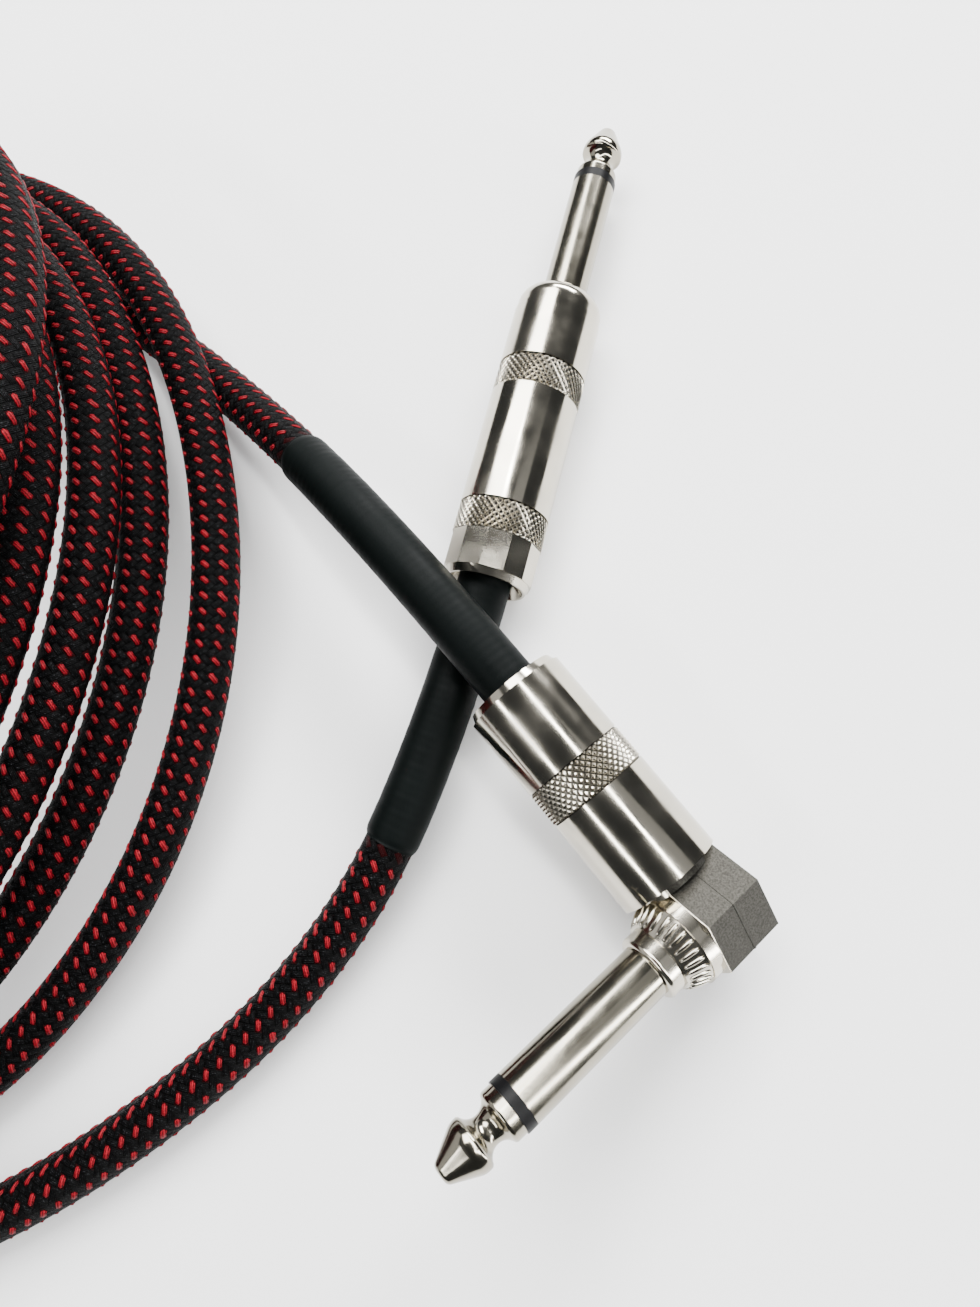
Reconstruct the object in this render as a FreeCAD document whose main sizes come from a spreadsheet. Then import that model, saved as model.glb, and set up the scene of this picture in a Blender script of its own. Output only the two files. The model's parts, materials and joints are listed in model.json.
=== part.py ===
import FreeCAD, Part
import math
import os
import re
from FreeCAD import Placement, Rotation, Vector

# A 3 m instrument cable: a braided cord with a straight quarter-inch plug at one end and a right-angle
# one at the other. The straight plug lies along +Y with its middle over the origin, and z = 0 is the
# surface everything lies on. Lengths are in millimetres and angles in degrees.

SIZES = {
    # The quarter-inch shaft, the same on both plugs. Its places count from the shoulder towards the tip.
    "shaft_radius": 3.175,
    "sleeve_length": 19.5,
    "spigot_step": 0.3,
    "ring_width": 1.3,
    "tip_length": 9.2,
    "tip_step": 0.175,
    "tip_land": 5.6,
    "tip_end_radius": 1.1,
    "ball_round": 2.2,
    "neck_depth": 1.25,
    "neck_round": 1.55,
    "neck_offset": 3.0,
    "neck_edge_round": 0.5,
    "rod_radius": 1.1,
    "tube_wall": 0.9,
    # The screw joint between a plug and its barrel.
    "thread_clearance": 0.05,
    "thread_length": 6.2,
    # Barrels. Their places count from the rear mouth towards the plug.
    "mouth_clearance": 0.5,
    "mouth_depth": 3.0,
    "flare_width": 1.1,
    "flare_depth": 2.1,
    "lip_length": 1.0,
    "lip_drop": 0.7,
    "knurl_depth": 0.3,
    "straight_barrel_wall": 1.25,
    "straight_barrel_length": 41.3,
    "straight_knurl_rear": 6.2,
    "straight_knurl_front": 8.9,
    "straight_knurl_width": 4.5,
    "angle_barrel_wall": 1.65,
    "angle_barrel_length": 29.2,
    "angle_knurl_rear": 11.8,
    "angle_knurl_width": 4.7,
    "liner_wall": 0.65,
    "liner_clearance": 0.08,
    "liner_setback": 0.2,
    "liner_gap": 1.2,
    # Noses.
    "nose_drop": 0.15,
    "nose_length": 3.7,
    "nose_round": 2.4,
    "block_corner": 6.7,
    "block_back": 5.3,
    "block_front": 3.0,
    "seam_height": 0.07,
    "seam_width": 0.25,
    "shoulder_length": 1.6,
    "rib_cone_rear": 5.5,
    "rib_cone_step": 0.3,
    "rib_cone_length": 2.8,
    "collar_wall": 0.825,
    "collar_round": 0.6,
    "shoulder_reach": 9.5,
    "chamber_radius": 3.0,
    "chamber_clearance": 0.2,
    # Cable and its connections inside the barrels.
    "cord_radius": 3.3,
    "shrink_wall": 0.4,
    "shrink_inset": 2.0,
    "dielectric_radius": 1.7,
    "conductor_radius": 0.6,
    "dielectric_length": 5.0,
    "drain_radius": 0.7,
    "drain_length": 6.2,
    "clamp_wall": 0.6,
    "clamp_clearance": 0.42,
    "clamp_length": 4.0,
    "clamp_setback": 0.5,
    "strip_width": 2.4,
    "strip_depth": 0.5,
    "strip_inset": 0.2,
    "lug_clearance": 0.37,
    "lug_thickness": 0.8,
    "washer_thickness": 1.5,
    "rod_overhang": 3.0,
    "post_radius": 0.8,
    "post_reach": 6.0,
    "solder_radius": 1.5,
    "drain_solder_radius": 0.9,
    "solder_bite": 0.2,
    "straight_jacket_end": 12.0,
    "angle_jacket_end": 7.0,
    # The coil of cable between the two leads, as one ring-shaped envelope.
    "coil_near_side": -28.0,
    "coil_centre_y": -69.0,
    "coil_outer_x": 77.0,
    "coil_outer_y": 88.0,
    "coil_inner_x": 49.0,
    "coil_inner_y": 58.0,
    "coil_height": 34.0,
    "coil_round": 8.0,
    # How the right-angle plug lies: its cable crosses over the straight plug's cable, a setback behind
    # the straight barrel's mouth and a reach behind its own, and the plug is turned about that point.
    "crossing_setback": 7.91,
    "crossing_reach": 10.31,
    "crossing_clearance": 0.82,
    "angle_yaw": 143.6,
    "angle_pitch": -7.0,
    "angle_roll": 19.2,
}
FLAT_COUNT = 12

# Sizes worked out from those above, from the cable outwards to the barrel.
MOUTH = "(cord_radius + shrink_wall + mouth_clearance)"
LINER_INSIDE = "(cord_radius + clamp_wall + clamp_clearance)"
LINER_OUTSIDE = f"({LINER_INSIDE} + liner_wall)"
BORE = f"({LINER_OUTSIDE} + liner_clearance)"
THREAD = f"({BORE} - thread_clearance)"
STRIP = "(cord_radius + clamp_wall - strip_inset)"
DRAIN = f"({STRIP} - strip_depth - drain_solder_radius + solder_bite)"
LUG = f"({LINER_INSIDE} - lug_clearance)"
TUBE = "(rod_radius + tube_wall)"
TIP = "(shaft_radius - tip_step)"
SPIGOT = "(shaft_radius - spigot_step)"
NOSE = f"({BORE} + straight_barrel_wall - nose_drop)"
FLAT = "(block_corner * cos(30 deg))"
COLLAR = "(shaft_radius + collar_wall)"

# How far behind its barrel's mouth each cable is led straight out, and the corners of its route after
# that.
STRAIGHT_EXIT = 19.5
STRAIGHT_ROUTE = [
    (-7.0, -91.0, 4.0),
    (-30.0, -123.0, 3.4),
    (-62.0, -148.0, 3.4),
    (-95.0, -152.0, 3.4),
]
ANGLE_EXIT = 25.0
ANGLE_ROUTE = [
    (-46.0, -15.0, 5.0),
    (-76.0, -1.0, 3.4),
]
ARC_SHARE = 0.45

doc = FreeCAD.newDocument("InstrumentCable")
sheet = doc.addObject("Spreadsheet::Sheet", "Sizes")
for row, (alias, value) in enumerate(SIZES.items(), start=1):
    sheet.set(f"A{row}", alias)
    sheet.set(f"B{row}", str(value))
    sheet.setAlias(f"B{row}", alias)
doc.recompute()

UPRIGHT = Rotation()
ALONG_X = Rotation(Vector(0, 1, 0), 90)
ALONG_Y = Rotation(Vector(1, 0, 0), -90)
TURNED = {"x": ALONG_X, "y": ALONG_Y, "z": UPRIGHT}
parts = []


def with_sheet(text):
    """An expression with each alias in it naming its cell of the sheet."""
    return re.sub(r"[a-z_]+", lambda word: "Sizes." + word[0] if word[0] in SIZES else word[0], text)


def size(name):
    return float(sheet.get(name))


def worked_out(text):
    """The value of an expression of sizes."""
    return float(sheet.evalExpression(with_sheet(text)))


def straight_rear():
    """The middle of the straight barrel's mouth: the plug rests on z = 0, centred on the origin."""
    lengths = ["straight_barrel_length", "nose_length", "sleeve_length", "ring_width", "tip_length"]
    whole = sum(size(name) for name in lengths)
    return Vector(0, -whole / 2, worked_out(f"{BORE} + straight_barrel_wall"))


def body(label, pose):
    piece = doc.addObject("PartDesign::Body", label)
    piece.Label = label
    piece.Placement = pose
    parts.append(piece)
    return piece


def feature(piece, kind, axis, start, spin=0.0, across=None, **sizes):
    """A PartDesign primitive along an axis of its body, its sizes bound to the sheet."""
    made = piece.newObject("PartDesign::" + kind, kind)
    made.Placement = Placement(Vector(), TURNED[axis] * Rotation(Vector(0, 0, 1), spin))
    for name, text in sizes.items():
        made.setExpression(name, with_sheet(text))
    made.setExpression("Placement.Base." + axis, with_sheet(start))
    for name, text in (across or {}).items():
        made.setExpression("Placement.Base." + name, with_sheet(text))
    return made


def round_edges(piece, radius, chosen):
    """A fillet on the edges of the body's last feature that the given test picks."""
    doc.recompute()
    base = piece.Tip
    shape = base.Shape
    names = [f"Edge{i}" for i, edge in enumerate(shape.Edges, start=1) if chosen(edge)]
    if not names:
        raise ValueError(piece.Label + ": no edge to round")
    fillet = piece.newObject("PartDesign::Fillet", "Fillet")
    fillet.Base = (base, names)
    fillet.setExpression("Radius", with_sheet(radius))
    return fillet


def circle_at(edge, axis, place, radius, slack=0.02):
    """Whether an edge is a full circle of a radius, at a place along an axis."""
    if edge.Curve.TypeId != "Part::GeomCircle" or not edge.isClosed():
        return False
    centre = getattr(edge.Curve.Center, axis)
    return abs(centre - place) < slack and abs(edge.Curve.Radius - radius) < slack


def tip_contact(label, pose, rod_start):
    piece = body(label, pose)
    head = "sleeve_length + ring_width"
    feature(piece, "AdditiveCylinder", "y", rod_start, Radius="rod_radius", Height=f"{head} - ({rod_start})")
    feature(piece, "AdditiveCylinder", "y", head, Radius=TIP, Height="tip_land")
    feature(
        piece, "AdditiveCone", "y", f"{head} + tip_land",
        Radius1=TIP, Radius2="tip_end_radius", Height="tip_length - tip_land",
    )
    feature(
        piece, "SubtractiveTorus", "y", f"{head} + neck_offset",
        Radius1=f"{TIP} + neck_round - neck_depth", Radius2="neck_round",
    )
    neck = worked_out(f"{head} + neck_offset")
    neck_reach = worked_out("sqrt(neck_round ^ 2 - (neck_round - neck_depth) ^ 2)")
    land_end = worked_out(f"{head} + tip_land")
    front = worked_out(f"{head} + tip_length")
    tip_radius = worked_out(TIP)
    round_edges(
        piece, "neck_edge_round",
        lambda e: circle_at(e, "y", neck - neck_reach, tip_radius) or circle_at(e, "y", neck + neck_reach, tip_radius),
    )
    round_edges(piece, "ball_round", lambda e: circle_at(e, "y", land_end, tip_radius))
    round_edges(piece, "tip_end_radius * 0.7", lambda e: circle_at(e, "y", front, size("tip_end_radius")))


def ring_piece(label, pose, start, length, outer, inner):
    """A plain tube, ring or washer along the body's Y axis."""
    piece = body(label, pose)
    feature(piece, "AdditiveCylinder", "y", start, Radius=outer, Height=length)
    feature(piece, "SubtractiveCylinder", "y", f"{start} - 1", Radius=inner, Height=f"{length} + 2")
    return piece


def wire_piece(label, pose, start, length, radius, drop="0"):
    piece = body(label, pose)
    feature(
        piece, "AdditiveCylinder", "y", start, across={"z": f"-({drop})"},
        Radius=radius, Height=length,
    )


def solder_piece(label, pose, place, radius, drop="0"):
    piece = body(label, pose)
    feature(piece, "AdditiveSphere", "y", place, across={"z": f"-({drop})"}, Radius=radius)


def shaft(name, pose, sleeve_start, rod_start):
    """The contact pieces of a quarter-inch shaft, from the shoulder at the body's origin. The sleeve
    seats on the shoulder, and its spigot is pressed into the plug behind."""
    tip_contact(f"{name}_tip", pose, rod_start)
    ring_piece(f"{name}_insulator_ring", pose, "sleeve_length", "ring_width", "shaft_radius", "rod_radius")
    sleeve = body(f"{name}_sleeve", pose)
    feature(sleeve, "AdditiveCylinder", "y", "0", Radius="shaft_radius", Height="sleeve_length")
    feature(sleeve, "AdditiveCylinder", "y", sleeve_start, Radius=SPIGOT, Height=f"-({sleeve_start})")
    feature(
        sleeve, "SubtractiveCylinder", "y", f"{sleeve_start} - 1",
        Radius=TUBE, Height=f"sleeve_length - ({sleeve_start}) + 2",
    )
    ring_piece(
        f"{name}_insulating_tube", pose, sleeve_start, f"sleeve_length - ({sleeve_start})",
        TUBE, "rod_radius",
    )


def barrel(name, pose, bands, faceted=False):
    """A barrel, open at both ends. Its knurled bands stand at the knurl's root, and its plain stretches
    at full radius. A faceted barrel has flats for a spanner behind its rear band."""
    radius = f"({BORE} + {name}_barrel_wall)"
    length = f"{name}_barrel_length"
    piece = body(f"{name}_barrel", pose)
    feature(
        piece, "AdditiveCylinder", "y", "lip_length",
        Radius=f"{radius} - knurl_depth", Height=f"{length} - lip_length",
    )
    feature(
        piece, "AdditiveCone", "y", "0",
        Radius1=f"{radius} - lip_drop", Radius2=f"{radius} - knurl_depth", Height="lip_length",
    )
    starts = ["lip_length"] + [f"{band} + {name}_knurl_width" for band in bands]
    ends = bands + [length]
    for place, (start, end) in enumerate(zip(starts, ends)):
        stretch = f"({end}) - ({start})"
        if faceted and place == 0:
            flats = feature(piece, "AdditivePrism", "y", start, Circumradius=radius, Height=stretch)
            flats.Polygon = FLAT_COUNT
        else:
            feature(piece, "AdditiveCylinder", "y", start, Radius=radius, Height=stretch)
    feature(
        piece, "SubtractiveCylinder", "y", "mouth_depth",
        Radius=BORE, Height=f"{length} - mouth_depth + 1",
    )
    feature(piece, "SubtractiveCylinder", "y", "-1", Radius=MOUTH, Height="mouth_depth + 2")
    feature(
        piece, "SubtractiveCone", "y", "0",
        Radius1=f"{MOUTH} + flare_width", Radius2=MOUTH, Height="flare_depth",
    )


def cable_end(name, pose):
    """What the barrel hides: its liner, the cable's clamp and lug, and the bared end of the cable."""
    stub_end = f"({name}_barrel_length - thread_length)"
    jacket_end = f"{name}_jacket_end"
    liner_start = "mouth_depth + liner_setback"
    ring_piece(
        f"{name}_liner", pose, liner_start, f"{stub_end} - liner_gap - ({liner_start})",
        LINER_OUTSIDE, LINER_INSIDE,
    )
    clamp = body(f"{name}_cable_clamp", pose)
    clamp_start = f"{jacket_end} - clamp_setback - clamp_length"
    feature(
        clamp, "AdditiveCylinder", "y", clamp_start,
        Radius="cord_radius + clamp_wall", Height="clamp_length",
    )
    feature(
        clamp, "AdditiveBox", "z", f"-{STRIP}", across={"x": "-strip_width / 2", "y": clamp_start},
        Length="strip_width", Width=f"{stub_end} - ({clamp_start})", Height="strip_depth",
    )
    feature(
        clamp, "AdditiveCylinder", "y", f"{stub_end} - lug_thickness",
        Radius=LUG, Height="lug_thickness",
    )
    feature(
        clamp, "SubtractiveCylinder", "y", f"{stub_end} - lug_thickness - 1",
        Radius="chamber_radius", Height="lug_thickness + 2",
    )
    feature(
        clamp, "SubtractiveCylinder", "y", f"{clamp_start} - 1",
        Radius="cord_radius", Height="clamp_length + 2",
    )
    wire_piece(f"{name}_dielectric", pose, jacket_end, "dielectric_length", "dielectric_radius")
    wire_piece(f"{name}_drain_wire", pose, jacket_end, "drain_length", "drain_radius", DRAIN)
    solder_piece(
        f"{name}_drain_solder", pose, f"{jacket_end} + drain_length",
        "drain_solder_radius", DRAIN,
    )


def centre_wire(name, pose, end):
    """The cable's centre conductor, from its dielectric to a contact that starts at a given place."""
    start = f"({name}_jacket_end + dielectric_length)"
    wire_piece(f"{name}_conductor", pose, start, f"({end}) - {start}", "conductor_radius")
    solder_piece(f"{name}_centre_solder", pose, end, "solder_radius")


def cord_path(points):
    """Straight runs joined by tangent arcs, each as large as its two runs allow."""
    corners = [Vector(*point) for point in points]
    edges = []
    radii = []
    last = corners[0]
    for before, corner, after in zip(corners, corners[1:], corners[2:]):
        back = (before - corner).normalize()
        ahead = (after - corner).normalize()
        reach = ARC_SHARE * min((before - corner).Length, (after - corner).Length)
        half_turn = (math.pi - back.getAngle(ahead)) / 2
        radii.append(reach / math.tan(half_turn))
        middle = (back + ahead).normalize()
        depth = radii[-1] * (1 / math.cos(half_turn) - 1)
        start = corner + back * reach
        end = corner + ahead * reach
        edges.append(Part.LineSegment(last, start).toShape())
        edges.append(Part.Arc(start, corner + middle * depth, end).toShape())
        last = end
    edges.append(Part.LineSegment(last, corners[-1]).toShape())
    return edges, radii


def swept(edges, radius):
    """A round solid along a path of tangent edges."""
    path = Part.Wire(edges)
    start = edges[0].Vertexes[0].Point
    along = edges[0].tangentAt(edges[0].FirstParameter)
    profile = Part.Wire(Part.makeCircle(radius, start, along))
    return path.makePipeShell([profile], True, False)


def part_feature(label, shape):
    piece = doc.addObject("Part::Feature", label)
    piece.Label = label
    piece.Shape = shape
    piece.Placement = Placement()
    parts.append(piece)


def lead(name, pose, corners, shrink_share):
    """The jacket from its end inside the barrel to the coil, and the heat-shrink over its first run and
    a share of the second."""
    start = pose.multVec(Vector(0, size(f"{name}_jacket_end"), 0))
    mouth = pose.multVec(Vector(0, size("shrink_inset"), 0))
    points = [tuple(start)] + corners
    edges, radii = cord_path(points)
    print(name, "lead: length", round(sum(edge.Length for edge in edges), 1), "radii",
          [round(radius, 1) for radius in radii])
    radius = size("cord_radius")
    jacket = swept(edges, radius)
    length = sum(edge.Length for edge in edges)
    print("  volume over section times length", round(jacket.Volume / (math.pi * radius ** 2 * length), 4))
    part_feature(f"cable_{name}_lead", jacket)
    first = edges[2].Vertexes[0].Point
    last = edges[2].Vertexes[-1].Point
    sleeve_edges = [
        Part.LineSegment(mouth, edges[0].Vertexes[-1].Point).toShape(),
        edges[1],
        Part.LineSegment(first, first + (last - first) * shrink_share).toShape(),
    ]
    sleeve = swept(sleeve_edges, radius + size("shrink_wall")).cut(swept(sleeve_edges, radius))
    part_feature(f"{name}_heat_shrink", sleeve)


def straight_nose(pose):
    """The rounded nose that the straight plug's barrel screws onto, with its threaded stub behind."""
    nose = body("straight_nose", pose)
    feature(nose, "AdditiveCylinder", "y", "-nose_length", Radius=NOSE, Height="nose_length")
    round_edges(nose, "nose_round", lambda e: circle_at(e, "y", 0, worked_out(NOSE)))
    feature(
        nose, "AdditiveCylinder", "y", "-nose_length - thread_length",
        Radius=THREAD, Height="thread_length",
    )
    feature(
        nose, "SubtractiveCylinder", "y", "-nose_length - thread_length - 1",
        Radius=SPIGOT, Height="nose_length + thread_length + 2",
    )


def angle_block(pose):
    """The cast six-sided block of the right-angle plug. Its axes cross at the body's origin: the barrel
    screws onto the stub along +X, and the shaft leaves along +Y."""
    block = body("angle_block", pose)
    hexagon = feature(
        block, "AdditivePrism", "y", "-block_back", spin=30,
        Circumradius="block_corner", Height="block_back + block_front",
    )
    hexagon.Polygon = 6
    seam = feature(
        block, "AdditivePrism", "y", "-(block_back - block_front + seam_width) / 2", spin=30,
        Circumradius="block_corner + seam_height", Height="seam_width",
    )
    seam.Polygon = 6
    feature(block, "AdditiveCylinder", "y", "block_front", Radius=FLAT, Height="shoulder_length")
    feature(
        block, "AdditiveCone", "y", "block_front + shoulder_length",
        Radius1="rib_cone_rear", Radius2=f"{COLLAR} + rib_cone_step", Height="rib_cone_length",
    )
    collar_start = "(block_front + shoulder_length + rib_cone_length)"
    feature(
        block, "AdditiveCylinder", "y", collar_start,
        Radius=COLLAR, Height=f"shoulder_reach - {collar_start}",
    )
    reach = size("shoulder_reach")
    round_edges(block, "collar_round", lambda e: circle_at(e, "y", reach, worked_out(COLLAR)))
    feature(
        block, "AdditiveCylinder", "x", f"{FLAT} - 1",
        Radius=THREAD, Height="thread_length + 1",
    )
    feature(
        block, "SubtractiveCylinder", "x", "-chamber_radius",
        Radius="chamber_radius", Height=f"{FLAT} + thread_length + chamber_radius + 1",
    )
    feature(block, "SubtractiveCylinder", "y", "0", Radius=SPIGOT, Height="shoulder_reach + 1")


def straight_plug():
    rear = straight_rear()
    barrel_pose = Placement(rear, UPRIGHT)
    shoulder = rear + Vector(0, size("straight_barrel_length") + size("nose_length"), 0)
    shaft_pose = Placement(shoulder, UPRIGHT)
    front_band = "straight_barrel_length - straight_knurl_front - straight_knurl_width"
    barrel("straight", barrel_pose, ["straight_knurl_rear", front_band], faceted=True)
    straight_nose(shaft_pose)
    sleeve_start = "-(nose_length + thread_length)"
    rod_start = f"{sleeve_start} - washer_thickness - rod_overhang"
    shaft("straight", shaft_pose, sleeve_start, rod_start)
    ring_piece(
        "straight_rear_washer", shaft_pose, f"{sleeve_start} - washer_thickness",
        "washer_thickness", "chamber_radius", "rod_radius",
    )
    cable_end("straight", barrel_pose)
    stub_end = "straight_barrel_length - thread_length"
    centre_wire("straight", barrel_pose, f"{stub_end} - washer_thickness - rod_overhang")
    exit_point = barrel_pose.multVec(Vector(0, -STRAIGHT_EXIT, 0))
    lead("straight", barrel_pose, [tuple(exit_point)] + STRAIGHT_ROUTE, 0.5)


def angle_plug():
    lift = worked_out("(cord_radius + shrink_wall) * 2 + crossing_clearance")
    crossing = straight_rear() + Vector(0, -size("crossing_setback"), lift)
    turn = Rotation(size("angle_yaw"), size("angle_pitch"), size("angle_roll"))
    mouth = worked_out(FLAT) + size("angle_barrel_length")
    middle = crossing - turn.multVec(Vector(mouth + size("crossing_reach"), 0, 0))
    pose = Placement(middle, turn)
    barrel_pose = pose * Placement(Vector(mouth, 0, 0), Rotation(Vector(0, 0, 1), 90))
    shaft_pose = pose * Placement(Vector(0, size("shoulder_reach"), 0), UPRIGHT)
    barrel("angle", barrel_pose, ["angle_knurl_rear"])
    angle_block(pose)
    sleeve_start = "chamber_radius + chamber_clearance - shoulder_reach"
    shaft("angle", shaft_pose, sleeve_start, "-(shoulder_reach + rod_radius * 2)")
    post = body("angle_centre_post", pose)
    feature(
        post, "AdditiveCylinder", "x", "rod_radius",
        Radius="post_radius",
        Height=f"{FLAT} + thread_length + post_reach - rod_radius",
    )
    cable_end("angle", barrel_pose)
    centre_wire("angle", barrel_pose, "angle_barrel_length - thread_length - post_reach")
    exit_point = barrel_pose.multVec(Vector(0, -ANGLE_EXIT, 0))
    lead("angle", barrel_pose, [tuple(exit_point)] + ANGLE_ROUTE, 0.6)


def oval_block(name, along_x, along_y):
    """A standing block of oval section, centred on the coil."""
    outline = doc.addObject("Part::Ellipse", name + "Outline")
    shorter, longer = sorted([along_x, along_y], key=worked_out)
    turn = 90 if longer == along_y else 0
    outline.Placement = Placement(Vector(), Rotation(Vector(0, 0, 1), turn))
    outline.setExpression("MajorRadius", with_sheet(longer))
    outline.setExpression("MinorRadius", with_sheet(shorter))
    outline.setExpression("Placement.Base.x", with_sheet("coil_near_side - coil_outer_x"))
    outline.setExpression("Placement.Base.y", with_sheet("coil_centre_y"))
    block = doc.addObject("Part::Extrusion", name)
    block.Base = outline
    block.DirMode = "Custom"
    block.Dir = Vector(0, 0, 1)
    block.Solid = True
    block.setExpression("LengthFwd", with_sheet("coil_height"))
    return block


def cable_coil():
    """The coiled middle of the cable, as the ring that its turns fill."""
    ring = doc.addObject("Part::Cut", "CoilRing")
    ring.Base = oval_block("CoilOuter", "coil_outer_x", "coil_outer_y")
    ring.Tool = oval_block("CoilInner", "coil_inner_x", "coil_inner_y")
    doc.recompute()
    rounded = doc.addObject("Part::Fillet", "cable_coil")
    rounded.Label = "cable_coil"
    rounded.Base = ring
    radius = size("coil_round")
    top = size("coil_height")
    rims = [
        (i, radius, radius)
        for i, edge in enumerate(ring.Shape.Edges, start=1)
        if edge.isClosed() and min(abs(edge.CenterOfMass.z), abs(edge.CenterOfMass.z - top)) < 0.01
    ]
    rounded.Edges = rims
    rounded.Placement = Placement()
    parts.append(rounded)


def check_and_write():
    """Every object must have computed, and every sub-part must be one valid solid."""
    doc.recompute()
    for item in doc.Objects:
        if "Invalid" in item.State or "Error" in item.State:
            raise ValueError(f"{item.Label}: {item.State}")
    os.makedirs("parts", exist_ok=True)
    for piece in parts:
        shape = piece.Shape
        if shape.isNull() or not shape.isValid() or len(shape.Solids) != 1:
            raise ValueError(f"{piece.Label}: shape is not one valid solid")
        shape.exportStep(f"parts/{piece.Label}.step")
        box = shape.BoundBox
        print(f"{piece.Label:26s} {shape.Volume:9.1f} mm3  x {box.XMin:.1f} {box.XMax:.1f}",
              f" y {box.YMin:.1f} {box.YMax:.1f}  z {box.ZMin:.2f} {box.ZMax:.2f}")


straight_plug()
angle_plug()
cable_coil()
check_and_write()
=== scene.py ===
import json
import math

import bpy
import numpy as np
from mathutils import Matrix, Vector


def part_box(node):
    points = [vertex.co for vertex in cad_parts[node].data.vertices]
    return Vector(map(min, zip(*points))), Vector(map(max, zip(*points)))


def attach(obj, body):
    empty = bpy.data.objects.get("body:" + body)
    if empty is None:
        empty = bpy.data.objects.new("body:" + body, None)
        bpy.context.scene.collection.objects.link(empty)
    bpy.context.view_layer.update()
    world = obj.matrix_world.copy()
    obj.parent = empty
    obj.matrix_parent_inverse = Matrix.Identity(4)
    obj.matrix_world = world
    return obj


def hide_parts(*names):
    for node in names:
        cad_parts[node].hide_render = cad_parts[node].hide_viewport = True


# A 3 m instrument cable: its braided cord in a loose coil, heat-shrink sleeves, and the finish of its
# two plated plugs. Everything is in metres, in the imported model's frame.
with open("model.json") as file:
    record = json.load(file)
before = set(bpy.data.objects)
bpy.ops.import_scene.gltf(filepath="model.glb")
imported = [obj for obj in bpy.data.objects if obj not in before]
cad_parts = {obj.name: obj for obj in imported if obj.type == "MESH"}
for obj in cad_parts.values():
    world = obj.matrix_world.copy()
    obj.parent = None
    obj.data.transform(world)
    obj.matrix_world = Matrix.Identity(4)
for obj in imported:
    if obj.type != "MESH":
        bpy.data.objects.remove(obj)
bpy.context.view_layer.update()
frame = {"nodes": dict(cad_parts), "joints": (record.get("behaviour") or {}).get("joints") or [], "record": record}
MM = 0.001
ROOT = "plugs_and_cable"
JOINTS = {joint["name"]: joint for joint in frame["joints"]}
MOUNTS = {mount["name"]: mount for mount in frame["record"]["mounts"]}

# The cord: how far inside each barrel's mouth it ends, its route at each end, as in the CAD model, and the
# coil between.
CORD_RADIUS = 3.3 * MM
SHRINK_RADIUS = 3.7 * MM
JACKET_END = {"straight": 12 * MM, "angle": 7 * MM}
STRAIGHT_START = (0.0, -0.0255, 0.0063)
STRAIGHT_ROUTE = [
    (0.0, -0.057, 0.0063),
    (-0.007, -0.091, 0.0040),
    (-0.030, -0.123, 0.0034),
    (-0.062, -0.148, 0.0034),
    (-0.095, -0.152, 0.0034),
]
ANGLE_ROUTE = [
    (-0.046, -0.015, 0.0050),
    (-0.076, -0.001, 0.0034),
]
# How far behind its barrel's mouth the right-angle plug's cable is led straight out.
ANGLE_EXIT = 25 * MM

# How much of each heat-shrink sleeve shows outside its barrel, and how far it reaches inside.
SHRINK_LENGTH = {"straight": 36.6 * MM, "angle": 46.5 * MM}
SHRINK_INSET = 2 * MM

# The coil's middle, where it starts as a heading in degrees, and how far it goes round.
COIL_CENTRE = (-0.105, -0.069)
COIL_START = -83
COIL_TURNS = 6.583
POINTS_PER_TURN = 36
# How the coil's turns vary: turns from the straight plug's end, half width along X and along Y, and the
# height that they are held up to, in millimetres.
COIL_SHAPE = [
    (0.00, 77, 84, 3.4),
    (0.30, 76, 83, 3.4),
    (0.55, 66, 77, 3.4),
    (0.80, 52, 69, 24),
    (1.30, 58, 66, 24),
    (1.80, 48, 62, 22),
    (2.30, 60, 64, 18),
    (2.80, 54, 69, 18),
    (3.30, 65, 70, 14),
    (3.80, 59, 72, 14),
    (4.30, 61, 72, 9),
    (4.60, 62, 77, 9),
    (4.85, 62, 73, 9),
    (5.30, 70, 76, 6),
    (5.60, 71, 82, 6),
    (5.85, 72.8, 77, 3.4),
    (6.20, 64, 70, 3.4),
    (6.583, 74, 74, 3.4),
]
# Turns that cross: the room left between them, how often their heights are settled, and over how many
# points each way a hump is spread.
LAY_GAP = 0.4 * MM
LAY_PASSES = 9
LAY_EASE = 4

# The right-angle plug's block: from the shaft's axis to its barrel's mouth, and along the shaft from the
# barrel's axis to where the polished shoulder starts.
BLOCK_TO_MOUTH = (6.7 * math.cos(math.radians(30)) + 29.2) * MM
SHOULDER_START = 3.0 * MM


def angle_plug_axes():
    """The right-angle plug: the mouth of its barrel, its cable's direction, and its shaft's direction."""
    turn = JOINTS["angle_barrel_turn"]
    along = Vector(turn["axis"]).normalized()
    shaft = Vector(MOUNTS["angle_sleeve"]["axis"]).normalized()
    return Vector(turn["pos_m"]), along, shaft


ANGLE_MOUTH, ANGLE_ALONG, ANGLE_SHAFT = angle_plug_axes()
BLOCK_MIDDLE = ANGLE_MOUTH - ANGLE_ALONG * BLOCK_TO_MOUTH


def coil_place(turns):
    """Where the coil runs after so many turns: x, y and the least height."""
    for before, after in zip(COIL_SHAPE, COIL_SHAPE[1:]):
        if turns <= after[0]:
            break
    share = (turns - before[0]) / (after[0] - before[0])
    ease = share * share * (3 - 2 * share)
    wide, deep, high = ((a + (b - a) * ease) * MM for a, b in zip(before[1:], after[1:]))
    heading = math.radians(COIL_START - 360 * turns)
    return (
        COIL_CENTRE[0] + wide * math.cos(heading),
        COIL_CENTRE[1] + deep * math.sin(heading),
        high,
    )


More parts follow.
